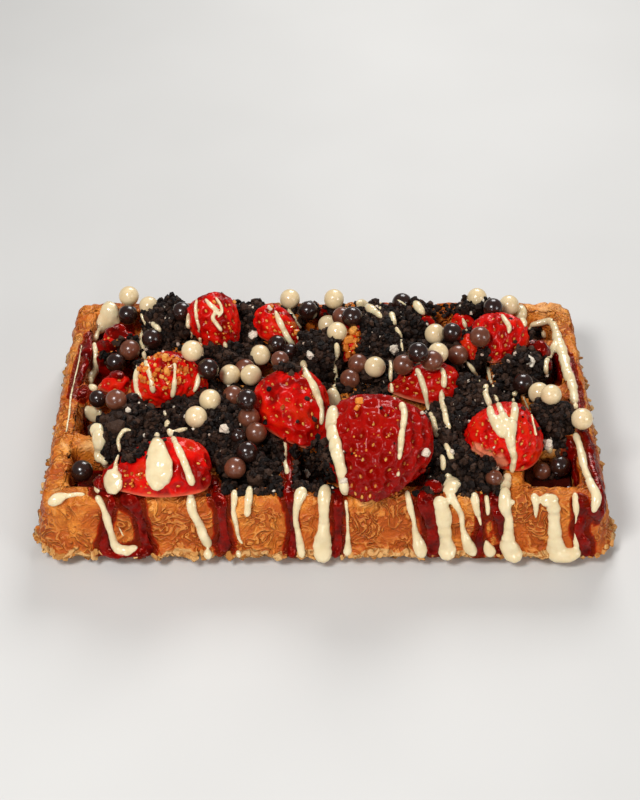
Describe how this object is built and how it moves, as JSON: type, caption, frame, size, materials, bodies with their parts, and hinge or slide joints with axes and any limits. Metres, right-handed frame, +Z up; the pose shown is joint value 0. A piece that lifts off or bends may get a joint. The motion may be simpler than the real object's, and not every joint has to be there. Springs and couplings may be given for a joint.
{
  "type": "dessert waffle",
  "caption": "Rectangular deep-pocket waffle piled with cut strawberries, dark cookie crumbs and round chocolate pearls, with white cream and red sauce running over its edges.",
  "frame": {"origin": "under the middle of the waffle, in the plane of its lower ribs, which it lies on", "axes": "+X along the long side, -Y towards the front side with the runs of cream, +Z up"},
  "size_m": [0.1888, 0.1166, 0.0491],
  "materials": {
    "crust": "baked, satin",
    "strawberry": "glazed, glossy",
    "crumbs": "matte, crumbly",
    "pearl_white": "polished",
    "pearl_milk": "polished",
    "pearl_dark": "polished",
    "sauce": "wet, glossy"
  },
  "bodies": {
    "root": {"crumbs_centre": "crumbs", "crumbs_centre_right": "crumbs", "crumbs_far_right": "crumbs", "crumbs_left": "crumbs", "crumbs_lump_front": "crumbs", "crumbs_mid_left": "crumbs", "crumbs_mid_right": "crumbs", "crumbs_rear_centre": "crumbs", "crumbs_rear_left": "crumbs", "crumbs_rear_mid": "crumbs", "crumbs_rear_mid_right": "crumbs", "crumbs_rear_right": "crumbs", "crumbs_right": "crumbs", "crumbs_right_rear": "crumbs", "pearl_01": "pearl_white", "pearl_02": "pearl_white", "pearl_03": "pearl_white", "pearl_04": "pearl_white", "pearl_05": "pearl_white", "pearl_06": "pearl_dark", "pearl_07": "pearl_dark", "pearl_08": "pearl_dark", "pearl_09": "pearl_white", "pearl_10": "pearl_dark", "pearl_11": "pearl_dark", "pearl_12": "pearl_milk", "pearl_13": "pearl_white", "pearl_14": "pearl_white", "pearl_15": "pearl_milk", "pearl_16": "pearl_milk", "pearl_17": "pearl_white", "pearl_18": "pearl_dark", "pearl_19": "pearl_white", "pearl_20": "pearl_white", "pearl_21": "pearl_white", "pearl_22": "pearl_white", "pearl_23": "pearl_white", "pearl_24": "pearl_milk", "pearl_25": "pearl_dark", "pearl_26": "pearl_white", "pearl_27": "pearl_white", "pearl_28": "pearl_dark", "sauce_pool_left": "sauce", "sauce_pool_right": "sauce", "strawberry_centre": "strawberry", "strawberry_chip_rear": "strawberry", "strawberry_front_centre": "strawberry", "strawberry_front_left": "strawberry", "strawberry_left": "strawberry", "strawberry_mid_right": "strawberry", "strawberry_rear_centre": "strawberry", "strawberry_rear_left": "strawberry", "strawberry_rear_right": "strawberry", "strawberry_right": "strawberry", "strawberry_slice_centre": "strawberry", "strawberry_slice_left": "strawberry", "strawberry_slice_left_rear": "strawberry", "strawberry_slice_rear_right": "strawberry", "strawberry_slice_right": "strawberry", "waffle": "crust"}
  },
  "joints": []
}
